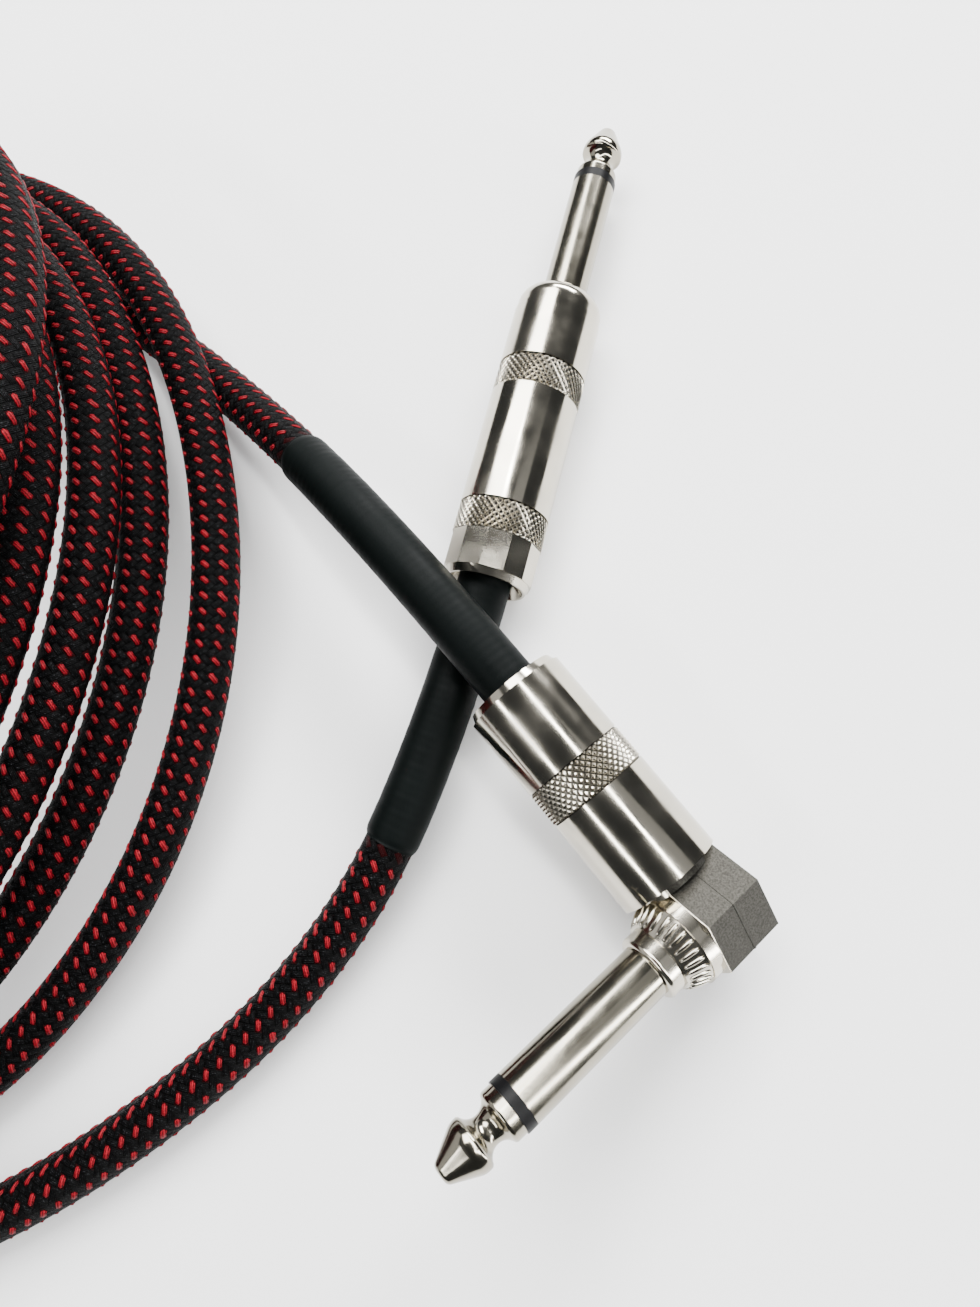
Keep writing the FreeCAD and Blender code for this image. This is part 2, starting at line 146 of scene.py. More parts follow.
def beside(point, start, end):
    """How far a point is from a stretch of cord, seen from above, and how high that stretch is there."""
    dx = end[0] - start[0]
    dy = end[1] - start[1]
    share = ((point[0] - start[0]) * dx + (point[1] - start[1]) * dy) / (dx * dx + dy * dy)
    share = max(0, min(1, share))
    gap = math.hypot(point[0] - start[0] - share * dx, point[1] - start[1] - share * dy)
    return gap, start[2] + share * (end[2] - start[2])


def eased(heights):
    """Heights as a bendy cord takes them: never lower, and each hump long and low."""
    def around(values, i):
        return values[max(0, i - LAY_EASE):i + LAY_EASE + 1]
    peaks = [max(around(heights, i)) for i in range(len(heights))]
    return [sum(around(peaks, i)) / len(around(peaks, i)) for i in range(len(peaks))]


def laid_coil(first):
    """The coil's points, laid turn on turn from the right-angle plug's end, over the lead laid first.
    Each point lies on whatever was laid below it."""
    count = round(COIL_TURNS * POINTS_PER_TURN)
    places = [coil_place(COIL_TURNS * i / count) for i in range(count - 1, 0, -1)]
    heights = [place[2] for place in places]
    apart = 2 * CORD_RADIUS + LAY_GAP
    recent = POINTS_PER_TURN // 3
    for _ in range(LAY_PASSES):
        laid = first + [(x, y, high) for (x, y, _), high in zip(places, heights)]
        lifted = []
        for i, place in enumerate(places):
            low = place[2]
            for start, end in zip(laid[:max(0, i + len(first) - recent)], laid[1:]):
                if abs(start[0] - place[0]) + abs(start[1] - place[1]) > 6 * apart:
                    continue
                gap, height = beside(place, start, end)
                if gap < apart:
                    low = max(low, height + math.sqrt(apart ** 2 - gap ** 2))
            lifted.append(low)
        heights = eased(lifted)
    return [(x, y, high) for (x, y, _), high in zip(places, heights)]


def cord_route():
    """Every control point of the cord, from inside the straight plug to inside the right-angle one."""
    angle_lead = [
        tuple(ANGLE_MOUTH - ANGLE_ALONG * JACKET_END["angle"]),
        tuple(ANGLE_MOUTH + ANGLE_ALONG * ANGLE_EXIT),
        *ANGLE_ROUTE,
    ]
    coil = laid_coil(angle_lead)
    return [STRAIGHT_START, *STRAIGHT_ROUTE, *reversed(coil), *reversed(angle_lead)]


def spline_points(route):
    """Points along the smooth NURBS spline of a route."""
    data = bpy.data.curves.new("route", "CURVE")
    data.dimensions = "3D"
    data.resolution_u = 8
    spline = data.splines.new("NURBS")
    spline.points.add(len(route) - 1)
    for point, place in zip(spline.points, route):
        point.co = (*place, 1)
    spline.order_u = 3
    spline.use_endpoint_u = True
    curve = bpy.data.objects.new("route", data)
    bpy.context.scene.collection.objects.link(curve)
    line = bpy.data.meshes.new_from_object(curve)
    points = np.empty(len(line.vertices) * 3)
    line.vertices.foreach_get("co", points)
    bpy.data.objects.remove(curve)
    bpy.data.curves.remove(data)
    bpy.data.meshes.remove(line)
    return points.reshape(-1, 3)


class Centreline:
    """The cord's centreline, with a frame across it that turns with the cord and doesn't spin."""

    def __init__(self, points):
        steps = np.diff(points, axis=0)
        lengths = np.linalg.norm(steps, axis=1)
        self.points = points
        self.at = np.concatenate([[0], np.cumsum(lengths)])
        self.length = self.at[-1]
        tangents = np.vstack([steps, steps[-1:]])
        tangents /= np.linalg.norm(tangents, axis=1)[:, None]
        side = np.cross(tangents[0], (0, 0, 1))
        sides = []
        for tangent in tangents:
            side = side - tangent * (side @ tangent)
            side /= np.linalg.norm(side)
            sides.append(side)
        self.sides = np.array(sides)
        self.ups = np.cross(tangents, self.sides)

    def along(self, values, place):
        return np.stack([np.interp(place, self.at, values[:, i]) for i in range(3)], axis=-1)

    def around(self, place, heading, radius):
        """Points at places along the cord, at headings round it and distances from its middle."""
        place, heading, radius = np.broadcast_arrays(place, heading, radius)
        middle = self.along(self.points, place)
        side = self.along(self.sides, place) * np.cos(heading)[..., None]
        up = self.along(self.ups, place) * np.sin(heading)[..., None]
        return middle + (side + up) * radius[..., None]


def new_piece(name, points, faces, uvs=None, material=None, smooth=True):
    """A mesh object from points and faces, with a UV for each face corner if they are given."""
    mesh = bpy.data.meshes.new(name)
    mesh.from_pydata(np.asarray(points).reshape(-1, 3).tolist(), [], faces)
    if uvs is not None:
        layer = mesh.uv_layers.new(name="pattern")
        layer.data.foreach_set("uv", np.asarray(uvs, dtype=np.float32).ravel())
    mesh.polygons.foreach_set("use_smooth", [smooth] * len(mesh.polygons))
    mesh.update()
    piece = bpy.data.objects.new(name, mesh)
    bpy.context.scene.collection.objects.link(piece)
    if material:
        mesh.materials.append(material)
    return piece


def band_faces(rows, columns, closed_rows=False):
    """Quads of a grid whose columns close into a ring. Its rows may close too."""
    faces = []
    for row in range(rows if closed_rows else rows - 1):
        above = (row + 1) % rows
        for column in range(columns):
            beyond = (column + 1) % columns
            faces.append((
                row * columns + column, row * columns + beyond,
                above * columns + beyond, above * columns + column,
            ))
    return faces


# ---------------------------------------------------------------------------------------------------
# Materials
# ---------------------------------------------------------------------------------------------------

class Look:
    """A node material under construction, with short calls for the nodes that it needs."""

    def __init__(self, name, colour, roughness, metallic=0.0, **sockets):
        self.material = bpy.data.materials.new(name)
        self.material.use_nodes = True
        self.tree = self.material.node_tree
        self.shader = self.tree.nodes["Principled BSDF"]
        self.set("Base Color", (*colour, 1))
        self.set("Roughness", roughness)
        self.set("Metallic", metallic)
        for socket, value in sockets.items():
            self.set(socket.replace("_", " "), value)

    def set(self, socket, value):
        self.shader.inputs[socket].default_value = value

    def node(self, kind, **inputs):
        made = self.tree.nodes.new("ShaderNode" + kind)
        for name, value in inputs.items():
            self.feed(made.inputs[name.replace("_", " ")], value)
        return made

    def feed(self, socket, value):
        if isinstance(value, bpy.types.NodeSocket):
            self.tree.links.new(value, socket)
        else:
            socket.default_value = value

    def math(self, operation, first, second=0.0):
        made = self.tree.nodes.new("ShaderNodeMath")
        made.operation = operation
        for socket, value in zip(made.inputs, (first, second)):
            self.feed(socket, value)
        return made.outputs[0]

    def place(self):
        return self.node("TexCoord").outputs["Object"]

    def pattern(self):
        """The two parts of the piece's own UV."""
        made = self.tree.nodes.new("ShaderNodeUVMap")
        made.uv_map = "pattern"
        split = self.node("SeparateXYZ", Vector=made.outputs[0])
        return split.outputs["X"], split.outputs["Y"]

    def noise(self, size, detail=2.0):
        """Noise whose blotches are about a size across, in metres."""
        made = self.node("TexNoise", Scale=1 / size, Detail=detail)
        self.feed(made.inputs["Vector"], self.place())
        return made.outputs["Fac"]

    def span(self, value, low, high, to_low, to_high):
        """A value from low to high, as one from to_low to to_high."""
        made = self.node("MapRange", Value=value)
        for i, edge in enumerate((low, high, to_low, to_high), start=1):
            made.inputs[i].default_value = edge
        return made.outputs[0]

    def blend(self, share, first, second):
        """A colour between two, each a colour or a socket."""
        made = self.tree.nodes.new("ShaderNodeMix")
        made.data_type = "RGBA"
        self.feed(made.inputs["Factor"], share)
        for socket, value in zip(("A", "B"), (first, second)):
            inputs = [i for i in made.inputs if i.name == socket and i.type == "RGBA"]
            self.feed(inputs[0], (*value, 1) if isinstance(value, tuple) else value)
        return [o for o in made.outputs if o.type == "RGBA"][0]

    def link(self, socket, value):
        self.tree.links.new(value, self.shader.inputs[socket])

    def bump(self, *layers):
        """Bumps one on another, each a height from 0 to 1 and its depth in metres."""
        normal = None
        for height, depth in layers:
            made = self.node("Bump", Height=height, Distance=depth, Strength=1.0)
            if normal:
                self.feed(made.inputs["Normal"], normal)
            normal = made.outputs[0]
        self.link("Normal", normal)


NICKEL = (0.52, 0.485, 0.405)


def plated(name, colour=NICKEL, roughness=0.13):
    """Bright plate with a slight orange peel, and smudged here and there."""
    look = Look(name, colour, roughness, metallic=1.0)
    smudge = look.noise(6 * MM, 3)
    look.link("Roughness", look.span(smudge, 0.35, 0.7, roughness - 0.03, roughness + 0.08))
    tint = tuple(c * 0.84 for c in colour)
    look.link("Base Color", look.blend(look.span(smudge, 0.4, 0.75, 0, 1), colour, tint))
    look.bump((look.noise(0.9 * MM, 2), 0.004 * MM), (look.noise(0.12 * MM, 2), 0.0006 * MM))
    return look.material


def knurled_nickel():
    """The same plate on a knurl, its pits dull, and dark with painted shade."""
    look = Look("knurled_nickel", NICKEL, 0.2, metallic=1.0)
    height, _ = look.pattern()
    # Mask of the knurl's tops; below it, in the pits, the colour goes near-black: painted shade.
    clear = look.span(height, 0.1, 0.6, 0, 1)
    look.link("Base Color", look.blend(clear, (0.012, 0.011, 0.009), NICKEL))
    look.link("Roughness", look.span(height, 0, 0.6, 0.5, 0.16))
    look.bump((look.noise(0.3 * MM, 3), 0.012 * MM))
    return look.material


def cast_block():
    """Dull cast facets, and a polished shoulder and collar on the shaft's side."""
    look = Look("cast_nickel", (0.5, 0.48, 0.44), 0.4, metallic=1.0)
    reach = look.node("VectorMath")
    reach.operation = "DOT_PRODUCT"
    look.feed(reach.inputs[0], look.place())
    reach.inputs[1].default_value = ANGLE_SHAFT
    shoulder = BLOCK_MIDDLE.dot(ANGLE_SHAFT) + SHOULDER_START
    polished = look.span(reach.outputs["Value"], shoulder - 0.15 * MM, shoulder - 0.05 * MM, 0, 1)
    cast = look.noise(0.22 * MM, 4)
    light_grain = look.span(cast, 0.35, 0.7, 0, 1)
    dull = look.blend(light_grain, (0.024, 0.023, 0.020), (0.048, 0.046, 0.040))
    look.link("Base Color", look.blend(polished, dull, NICKEL))
    rough = look.node("MapRange", Value=polished)
    rough.inputs["To Min"].default_value = 0.5
    rough.inputs["To Max"].default_value = 0.17
    look.link("Roughness", rough.outputs[0])
    depth = look.math("MULTIPLY", cast, look.span(polished, 0, 1, 1, 0.12))
    look.bump((depth, 0.014 * MM), (look.noise(0.9 * MM, 2), 0.006 * MM))
    return look.material


def moulded(name, colour, roughness, grain=0.25, depth=0.006, **sockets):
    """Moulded plastic, fibre or solder: a fine grain and a slight mottle."""
    look = Look(name, colour, roughness, **sockets)
    mottle = look.noise(3 * MM, 3)
    shade = tuple(c * 0.8 for c in colour)
    look.link("Base Color", look.blend(look.span(mottle, 0.35, 0.7, 0, 1), colour, shade))
    look.link("Roughness", look.span(mottle, 0.3, 0.7, roughness - 0.05, roughness + 0.08))
    look.bump((look.noise(grain * MM, 3), depth * MM))
    return look.material


def shrink_sleeve():
    """Satin black heat-shrink, with a faint ring at each of the weave's turns below it."""
    look = Look("heat_shrink", (0.0012, 0.002, 0.002), 0.5, Specular_IOR_Level=0.05)
    along, _ = look.pattern()
    ring = look.math("SINE", look.math("MULTIPLY", along, 2 * math.pi / SHRINK_RING))
    patch = look.noise(5 * MM, 3)
    look.link("Roughness", look.span(patch, 0.3, 0.7, 0.46, 0.58))
    look.link("Base Color", look.blend(patch, (0.0008, 0.0015, 0.0014), (0.0020, 0.0033, 0.0031)))
    look.bump((ring, 0.006 * MM), (look.noise(0.25 * MM, 3), 0.012 * MM))
    return look.material


# The rings that the weave leaves in the heat-shrink over it, in millimetres apart.
SHRINK_RING = 1.05
# The weave's repeat along the cord, its repeats round it, and which way round they count.
BRAID_PITCH = 2.2 * MM
BRAID_COLUMNS = 8
BRAID_HAND = -1


def woven(look):
    """The weave of yarns that run both ways round the cord, each over two and under two. It gives how high
    the upper yarn stands, where across it a point is, and where a red yarn is the upper one."""
    along, round_it = look.pattern()
    first = look.math("MULTIPLY", look.math("SUBTRACT", along, round_it), 2.0)
    second = look.math("MULTIPLY", look.math("ADD", along, round_it), 2.0)
    row = look.math("FLOOR", first)
    column = look.math("FLOOR", second)
    cell = look.math("FLOORED_MODULO", look.math("ADD", row, column), 4.0)
    crossed = look.math("GREATER_THAN", cell, 1.5)
    straight = look.math("SUBTRACT", 1.0, crossed)

    def upper(value, other):
        kept = look.math("MULTIPLY", value, straight)
        return look.math("ADD", kept, look.math("MULTIPLY", other, crossed))
    across = upper(look.math("FRACT", first), look.math("FRACT", second))
    along_first = look.math("FLOORED_MODULO", look.math("ADD", second, row), 4.0)
    shifted = look.math("FLOORED_MODULO", look.math("ADD", first, column), 4.0)
    along_second = look.math("SUBTRACT", shifted, 2.0)
    along_yarn = look.math("MULTIPLY", upper(along_first, along_second), 0.5)
    rise = look.math("MULTIPLY", *(
        look.math("SINE", look.math("MULTIPLY", share, math.pi)) for share in (across, along_yarn)
    ))
    height = look.math("POWER", look.math("MAXIMUM", rise, 0.0), 0.45)
    even = look.math("LESS_THAN", look.math("FLOORED_MODULO", row, 2.0), 0.5)
    return height, across, look.math("MULTIPLY", straight, even)


def braid():
    """Near-black yarns with small glints, painted shade in the grooves between them, and a dark red under each red
    fleck.
    """
    look = Look("braid", (0.001, 0.001, 0.001), 0.62, Specular_IOR_Level=0.045)
    height, across, red = woven(look)
    filaments = look.math("SINE", look.math("MULTIPLY", across, 2 * math.pi * 4))
    fuzz = look.noise(0.16 * MM, 3)
    glint = look.span(fuzz, 0.60, 0.68, 0, 1)
    yarn = look.blend(glint, (0.0006, 0.0006, 0.0007), (0.028, 0.029, 0.032))
    # Painted shade: where the weave is low, in the grooves between the yarns, the colour is darker still.
    deep = look.blend(look.span(height, 0.35, 0.85, 0, 1), (0.0003, 0.0003, 0.0003), yarn)
    look.link("Base Color", look.blend(look.math("MULTIPLY", red, 0.6), deep, (0.02, 0.0004, 0.0008)))
    look.link("Roughness", look.span(fuzz, 0.35, 0.7, 0.7, 0.42))
    look.bump((height, 0.25 * MM), (filaments, 0.03 * MM), (fuzz, 0.03 * MM))
    return look.material


def red_yarn():
    """The raised red flecks, each of a few strands, with a painted highlight along each strand's top and painted
    shade at its sides.
    """
    look = Look("red_yarn", (0.2, 0.002, 0.005), 0.5, Specular_IOR_Level=0.08)
    _, across = look.pattern()
    strand = look.math("SINE", look.math("MULTIPLY", across, 2 * math.pi * 1.4))
    fuzz = look.noise(0.2 * MM, 3)
    # Each strand lighter on its top and darker at its sides: painted highlight and painted shade, with a random
    # tone from the fuzz.
    shade = look.math("ADD", look.span(strand, -1, 1, 0, 0.6), look.span(fuzz, 0.4, 0.7, 0, 0.4))
    look.link("Base Color", look.blend(shade, (0.035, 0.0005, 0.0011), (0.31, 0.008, 0.018)))
    look.link("Roughness", look.span(fuzz, 0.3, 0.7, 0.6, 0.4))
    look.bump((strand, 0.04 * MM), (fuzz, 0.02 * MM))
    return look.material


# ---------------------------------------------------------------------------------------------------
# The cord
# ---------------------------------------------------------------------------------------------------

RING_STEP = 1.1 * MM
CORD_SIDES = 20
SHRINK_STEP = 0.5 * MM
SHRINK_SIDES = 40
# A sleeve's surface, in millimetres: its ripple and how long a wave is, its unevenness, and how far its
# open rim is drawn in and over what length.
SHRINK_RIPPLE = 0.009
SHRINK_WAVE = 2.1
SHRINK_DRIFT = 0.006
RIM_DROP = 0.4
RIM_LENGTH = 1.2
FLECK_HALF_LENGTH = 0.84 * MM
FLECK_HALF_WIDTH = 0.43 * MM
FLECK_SLANT = math.atan(2 * math.pi * CORD_RADIUS / BRAID_COLUMNS / BRAID_PITCH)
# The middle of a red yarn's float, along the cord and round it, in the weave's repeats.
FLECK_PLACE = (0.375, 0.125)
# A fleck's corners: along it, across it, and how far it stands out of the cord.
FLECK_FORM = np.array([
    (-1, 0, -0.06), (-0.6, 1, -0.06), (0.6, 1, -0.06), (1, 0, -0.06), (0.6, -1, -0.06), (-0.6, -1, -0.06),
    (-0.6, 0, 0.13), (0, 0, 0.19), (0.6, 0, 0.13),
])
FLECK_FACES = [
    (0, 6, 1), (1, 6, 7), (1, 7, 2), (2, 7, 8), (2, 8, 3),
    (3, 8, 4), (4, 8, 7), (4, 7, 5), (5, 7, 6), (5, 6, 0),
    (0, 1, 2, 3, 4, 5),
]


def cord_tube(line, material):
    """The cord, from inside one plug to inside the other, with the weave's UV."""
    rings = int(line.length / RING_STEP) + 1
    places = np.linspace(0, line.length, rings)
    headings = np.arange(CORD_SIDES) * 2 * math.pi / CORD_SIDES
    points = line.around(places[:, None], headings[None, :], CORD_RADIUS)
    faces = band_faces(rings, CORD_SIDES)
    along = places / BRAID_PITCH
    corners = [(0, 0), (0, 1), (1, 1), (1, 0)]
    uvs = np.array([
        (along[row + up], BRAID_HAND * (column + over) * BRAID_COLUMNS / CORD_SIDES)
        for row in range(rings - 1) for column in range(CORD_SIDES) for up, over in corners
    ])
    caps = [tuple(range(CORD_SIDES))[::-1], tuple(range((rings - 1) * CORD_SIDES, rings * CORD_SIDES))]
    uvs = np.vstack([uvs, np.zeros((2 * CORD_SIDES, 2))])
    return new_piece("cord", points, faces + caps, uvs, material)


def cord_flecks(line, material, bare):
    """A red yarn where it comes up through the weave, all along the cord between the two sleeves."""
    columns = np.arange(BRAID_COLUMNS)
    rows = np.arange(int(bare[0] / BRAID_PITCH) + 1, int(bare[1] / BRAID_PITCH))
    places = np.repeat((rows + FLECK_PLACE[0]) * BRAID_PITCH, BRAID_COLUMNS)
    headings = np.tile((columns + FLECK_PLACE[1]) * 2 * math.pi / BRAID_COLUMNS, len(rows))
    drift = np.random.default_rng(5)
    slant = FLECK_SLANT + drift.normal(0, 0.05, len(places))
    grow = 1 + drift.normal(0, 0.07, len(places))
    long_way = FLECK_FORM[:, 0] * FLECK_HALF_LENGTH * grow[:, None]
    wide_way = FLECK_FORM[:, 1] * FLECK_HALF_WIDTH * grow[:, None]
    cosine = np.cos(slant)[:, None]
    sine = np.sin(slant)[:, None]
    place = places[:, None] + long_way * cosine - wide_way * sine
    heading = BRAID_HAND * (headings[:, None] + (long_way * sine + wide_way * cosine) / CORD_RADIUS)
    points = line.around(place, heading, CORD_RADIUS + FLECK_FORM[None, :, 2] * MM)
    corners = len(FLECK_FORM)
    faces = [
        tuple(corner + k * corners for corner in face) for k in range(len(places)) for face in FLECK_FACES
    ]
    one = [FLECK_FORM[corner, :2] for face in FLECK_FACES for corner in face]
    return new_piece("cord_flecks", points, faces, np.tile(one, (len(places), 1)), material)


def shrink(name, line, start, end, open_end, material):
    """A heat-shrink sleeve from one place along the cord to another, its rim rounded at the open end."""
    drift = np.random.default_rng(9)
    places = np.linspace(start, end, int((end - start) / SHRINK_STEP))
    toward_rim = np.abs(places - open_end) / MM
    wave = SHRINK_RIPPLE * np.sin(places / MM * 2 * math.pi / SHRINK_WAVE)
    ripple = wave + drift.normal(0, SHRINK_DRIFT, len(places))
    rim = RIM_DROP * np.clip(1 - toward_rim / RIM_LENGTH, 0, 1) ** 2
    outer = SHRINK_RADIUS + (ripple - rim) * MM
    inner = np.full(len(places), CORD_RADIUS + 0.01 * MM)
    rows = np.concatenate([places, places[::-1]])
    radii = np.concatenate([outer, inner])
    headings = np.arange(SHRINK_SIDES) * 2 * math.pi / SHRINK_SIDES
    points = line.around(rows[:, None], headings[None, :], radii[:, None])
    faces = band_faces(len(rows), SHRINK_SIDES, closed_rows=True)
    uvs = np.array([(rows[corner // SHRINK_SIDES] / MM, 0) for face in faces for corner in face])
    return new_piece(name, points, faces, uvs, material)


# ---------------------------------------------------------------------------------------------------
# The plugs
# ---------------------------------------------------------------------------------------------------

# Each knurled band: steps of its mesh for each tooth, how far it runs out at its edges, and how far its
# hidden side lies inside it.
KNURL_STEPS = 8
KNURL_EDGE = 0.25 * MM
KNURL_SKIN = 0.2 * MM
# Where the straight barrel's bands start, from its mouth, and what they measure.
STRAIGHT_KNURLS = {"straight_knurl_rear": 6.2 * MM, "straight_knurl_front": 27.9 * MM}
STRAIGHT_KNURL_WIDTH = 4.5 * MM
STRAIGHT_KNURL_TEETH = 40
STRAIGHT_KNURL_DEPTH = 0.3 * MM
STRAIGHT_KNURL_PROUD = 0.02 * MM
# The right-angle barrel's band.
ANGLE_KNURL_START = 11.8 * MM
ANGLE_KNURL_WIDTH = 4.7 * MM
ANGLE_KNURL_ROOT = 6.4 * MM
ANGLE_KNURL_TOP = 6.74 * MM
ANGLE_KNURL_TEETH = 44
# The ribs on the block's cone, in millimetres: their ends as a radius and a place along the shaft, how
# high they stand, how deep they are sunk, and their half width and what it loses towards the shaft.
RIB_COUNT = 30
RIB_OUTER = (5.42, 4.72)
RIB_INNER = (4.42, 7.15)
RIB_HEIGHT = 0.34
RIB_SINK = 0.06
RIB_HALF_WIDTH = 0.36
RIB_TAPER = 0.08


def axes_about(along):
    """Two directions square to an axis."""
    first = along.orthogonal().normalized()
    return first, along.cross(first)


def knurl(name, origin, along, width, root, top, count, crossed, body, material):
    """A knurled band along an axis, of crossed ridges, or of pyramids where it isn't crossed."""
    pitch = 2 * math.pi * top / count
    rows = int(width / pitch * KNURL_STEPS) + 1
    columns = count * KNURL_STEPS
    first, second = (np.array(v) for v in axes_about(along))
    t = np.linspace(0, width, rows)[:, None]
    heading = (np.arange(columns) * 2 * math.pi / columns)[None, :]
    turned = heading * count / (2 * math.pi)
    waves = [np.abs(2 * ((turned + way * t / pitch) % 1) - 1) for way in (1, -1)]
    height = np.maximum(*waves) ** 2.5 if crossed else np.minimum(*waves) ** 0.8
    edge = np.clip(np.minimum(t, width - t) / KNURL_EDGE, 0, 1)
    radius = root + (top - root) * height * edge
    flat = np.cos(heading)[..., None] * first + np.sin(heading)[..., None] * second
    points = np.array(origin) + np.array(along) * t[..., None] + radius[..., None] * flat
    inside = np.array(origin) + np.array(along) * t[::-1, :, None] + (root - KNURL_SKIN) * flat
    whole = np.concatenate([points, inside[:1], inside[-1:]])
    faces = band_faces(rows + 2, columns, closed_rows=True)
    heights = np.concatenate([height * edge, np.zeros((2, columns))]).ravel()
    uvs = [(heights[corner], 0) for face in faces for corner in face]
    piece = new_piece(name, whole, faces, uvs, material, smooth=False)
    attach(piece, body)
    return piece


def ribs(material):
    """The rounded ribs on the cone between the right-angle block and its collar."""
    first, second = (np.array(v) for v in axes_about(ANGLE_SHAFT))
    outer = np.array(RIB_OUTER)
    inner = np.array(RIB_INNER)
    slope = (inner - outer) / np.linalg.norm(inner - outer)
    out_of_cone = np.array([-slope[1], slope[0]])
    out_of_cone *= np.sign(out_of_cone[0])
    lengths = np.linspace(0, math.pi, 9)
    rounds = np.linspace(0, math.pi, 7)
    points = []
    faces = []
    for k in range(RIB_COUNT):
        heading = 2 * math.pi * k / RIB_COUNT
        radial = math.cos(heading) * first + math.sin(heading) * second
        sideways = -math.sin(heading) * first + math.cos(heading) * second
        start = len(points)
        for length in lengths:
            share = (1 - math.cos(length)) / 2
            swell = math.sin(length) ** 0.45
            for turn in rounds:
                lift = math.sin(turn) * swell * RIB_HEIGHT - RIB_SINK
                across = math.cos(turn) * swell * (RIB_HALF_WIDTH - RIB_TAPER * share)
                r, y = outer + (inner - outer) * share + out_of_cone * lift
                place = r * radial + y * np.array(ANGLE_SHAFT) + across * sideways
                points.append(np.array(BLOCK_MIDDLE) + place * MM)
        wide = len(rounds)
        faces += [
            (start + row * wide + i, start + row * wide + i + 1,
             start + (row + 1) * wide + i + 1, start + (row + 1) * wide + i)
            for row in range(len(lengths) - 1) for i in range(wide - 1)
        ]
    piece = new_piece("angle_ribs", points, faces, material=material)
    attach(piece, ROOT)
    return piece


def finish_nodes():
    """A finish for each CAD node, by the record's slot for it."""
    finishes = {
        "nickel": plated("nickel"),
        "cast_nickel": cast_block(),
        "black_plastic": moulded("black_plastic", (0.0022, 0.0022, 0.0026), 0.4, Specular_IOR_Level=0.12),
        "white_plastic": moulded("white_plastic", (0.75, 0.74, 0.7), 0.45),
        "clear_plastic": moulded("clear_plastic", (0.7, 0.73, 0.75), 0.3, Transmission_Weight=0.3),
        "fibre": moulded("fibre", (0.28, 0.13, 0.06), 0.7, grain=0.4, depth=0.02),
        "tinned_brass": plated("tinned_brass", (0.72, 0.66, 0.5), 0.25),
        "copper": plated("copper", (0.8, 0.42, 0.26), 0.22),
        "solder": plated("solder", (0.74, 0.74, 0.74), 0.2),
        "heat_shrink": shrink_sleeve(),
        "braid": braid(),
    }
    satin = plated("satin_nickel", (0.33, 0.305, 0.245), roughness=0.15)
    for subpart in frame["record"]["subparts"]:
        name = subpart["node"]
        mesh = frame["nodes"][name].data
        mesh.materials.clear()
        shaft = name.endswith(("_sleeve", "_tip"))
        mesh.materials.append(satin if shaft else finishes[subpart["material_slot"]])
    return finishes


# ---------------------------------------------------------------------------------------------------
# Floor, lights and camera
# ---------------------------------------------------------------------------------------------------

FLOOR_REACH = 3.0
WORLD_STRENGTH = 0.06
LIT_POINT = (-0.02, -0.05, 0.01)
# Every light faces the plugs: its place, width and height in metres, and power in watts.
SOFTBOXES = {
    "window": ((-0.30, 0.36, 0.75), 0.55, 0.5, 15),
    "left_bar": ((-0.36, -0.58, 0.7), 0.7, 0.07, 4),
    "top_bar": ((0.17, 0.15, 0.8), 0.6, 0.07, 4),
    "left_card": ((-0.75, -0.15, 0.35), 0.9, 0.5, 1.2),
    "strip": ((0.5, -0.15, 0.33), 0.06, 0.8, 5),
    "right_card": ((0.7, 0.1, 0.9), 0.8, 0.5, 0.5),
    "front": ((0.1, 0.85, 0.5), 0.7, 0.2, 26),
}
CAMERA_PLACE = (0.0267, -0.0695, 0.1160)
CAMERA_TARGET = (0.0018, -0.0452, 0.0)
CAMERA_ROLL = -32.0
CAMERA_LENS = 23.6


def floor():
    """A plain pale floor."""
    look = Look("floor", (0.93, 0.93, 0.93), 0.8)
    look.link("Base Color", look.blend(look.noise(0.2, 2), (0.92, 0.92, 0.92), (0.94, 0.94, 0.94)))
    corners = [(x * FLOOR_REACH, y * FLOOR_REACH, 0) for x, y in ((-1, -1), (1, -1), (1, 1), (-1, 1))]
    plane = new_piece("floor", corners, [(0, 1, 2, 3)], material=look.material)


def softbox(name, place, width, height, power):
    """A flat rectangular light."""
    data = bpy.data.lights.new(name, "AREA")
    data.shape = "RECTANGLE"
    data.size = width
    data.size_y = height
    data.energy = power
    light = bpy.data.objects.new(name, data)
    light.location = place
    light.rotation_euler = (Vector(LIT_POINT) - Vector(place)).to_track_quat("-Z", "Y").to_euler()
    bpy.context.scene.collection.objects.link(light)


def lights():
    """Soft studio light: a dim surround and the softboxes."""
    world = bpy.data.worlds.new("studio")
    world.use_nodes = True
    back = world.node_tree.nodes["Background"]
    back.inputs["Color"].default_value = (0.9, 0.95, 1, 1)
    back.inputs["Strength"].default_value = WORLD_STRENGTH
    bpy.context.scene.world = world
    for name, sizes in SOFTBOXES.items():
        softbox(name, *sizes)


def camera():
    """The camera, close above the plugs."""
    data = bpy.data.cameras.new("camera")
    data.lens = CAMERA_LENS
    data.clip_start = 0.005
    eye = bpy.data.objects.new("camera", data)
    place = Vector(CAMERA_PLACE)
    aim = (Vector(CAMERA_TARGET) - place).to_track_quat("-Z", "Y").to_matrix()
    roll = Matrix.Rotation(math.radians(CAMERA_ROLL), 3, "Z")
    eye.matrix_world = Matrix.Translation(place) @ (aim @ roll).to_4x4()
    bpy.context.scene.collection.objects.link(eye)
    bpy.context.scene.camera = eye


# ---------------------------------------------------------------------------------------------------
# The scene
# ---------------------------------------------------------------------------------------------------

camera()
lights()
floor()
finishes = finish_nodes()

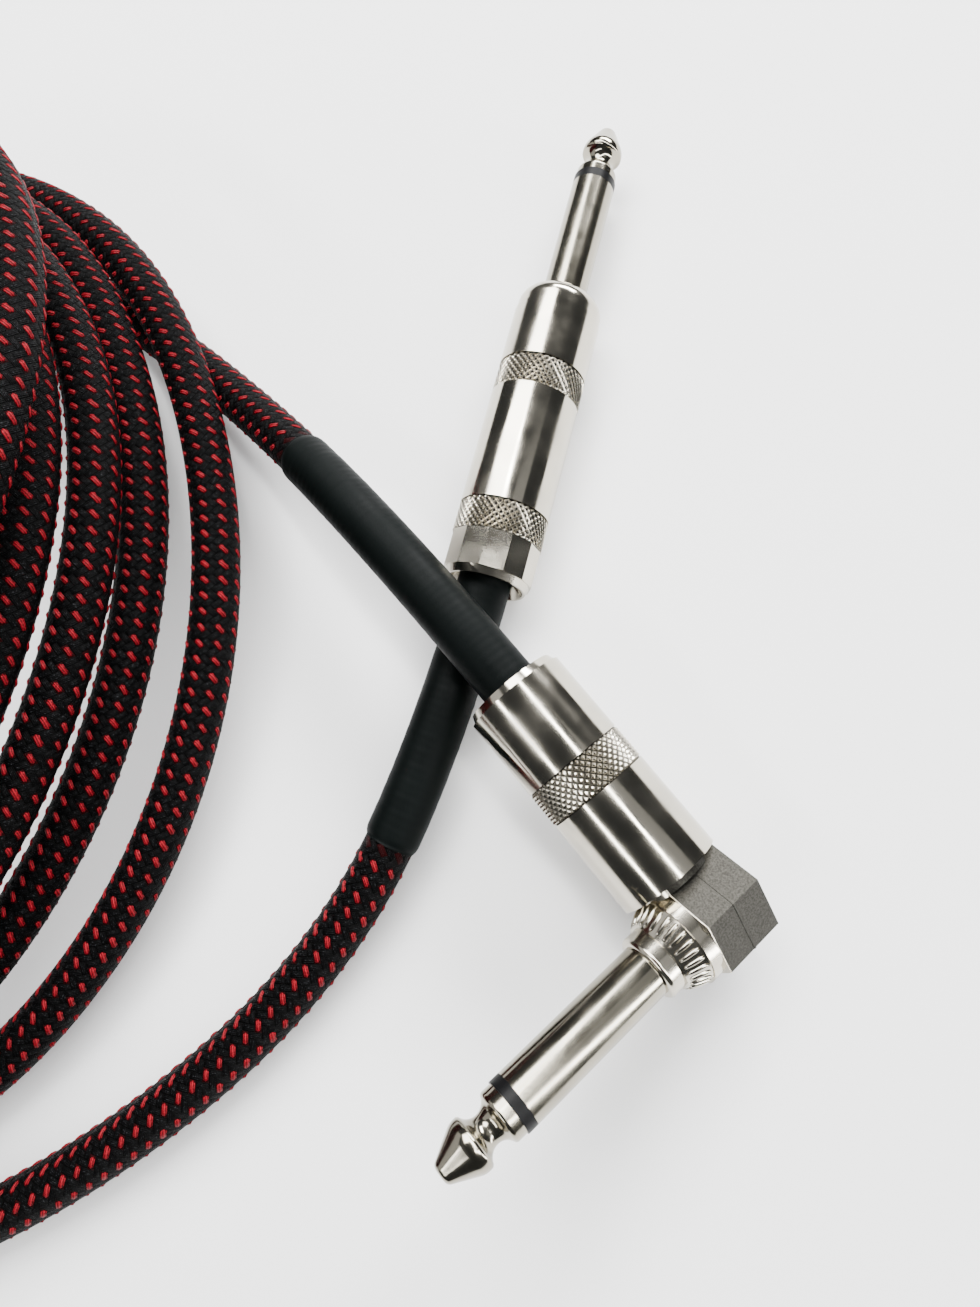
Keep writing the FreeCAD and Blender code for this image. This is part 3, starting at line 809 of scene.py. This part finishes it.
# The cord, its flecks, and a heat-shrink sleeve at each end.
line = Centreline(spline_points(cord_route()))
cord = cord_tube(line, finishes["braid"])
straight_mouth = JACKET_END["straight"]
angle_mouth = line.length - JACKET_END["angle"]
bare = (straight_mouth + SHRINK_LENGTH["straight"], angle_mouth - SHRINK_LENGTH["angle"])
flecks = cord_flecks(line, red_yarn(), bare)
black = finishes["heat_shrink"]
sleeves = {
    "straight": shrink("straight_shrink", line, straight_mouth - SHRINK_INSET, bare[0], bare[0], black),
    "angle": shrink("angle_shrink", line, bare[1], angle_mouth + SHRINK_INSET, bare[1], black),
}
slots = [(cord, "braid"), (flecks, "braid"), *((sleeve, "heat_shrink") for sleeve in sleeves.values())]
for piece, slot in slots:
    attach(piece, ROOT)
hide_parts("cable_straight_lead", "cable_coil", "cable_angle_lead")
for plug, sleeve in sleeves.items():
    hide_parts(plug + "_heat_shrink")

# The plugs' knurled bands and ribs.
knurling = knurled_nickel()
straight_low, straight_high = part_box("straight_barrel")
straight_radius = (straight_high.z - straight_low.z) / 2
straight_origin = Vector((0, straight_low.y, straight_radius))
for name, start in STRAIGHT_KNURLS.items():
    knurl(name, straight_origin + Vector((0, start, 0)), Vector((0, 1, 0)), STRAIGHT_KNURL_WIDTH,
          straight_radius - STRAIGHT_KNURL_DEPTH, straight_radius + STRAIGHT_KNURL_PROUD,
          STRAIGHT_KNURL_TEETH, True, "straight_barrel", knurling)
angle_knurl = knurl(
    "angle_knurl", ANGLE_MOUTH - ANGLE_ALONG * ANGLE_KNURL_START, -ANGLE_ALONG, ANGLE_KNURL_WIDTH,
    ANGLE_KNURL_ROOT, ANGLE_KNURL_TOP, ANGLE_KNURL_TEETH, False, "angle_barrel", knurling,
)
rib_ring = ribs(finishes["nickel"])

# The right-angle plug is on the cord's far end.
far_nodes = [name for name in frame["nodes"] if name.startswith("angle_") and name != "angle_heat_shrink"]
on_cord = [flecks, *sleeves.values(), angle_knurl, rib_ring]
on_cord += [frame["nodes"][name] for name in far_nodes]
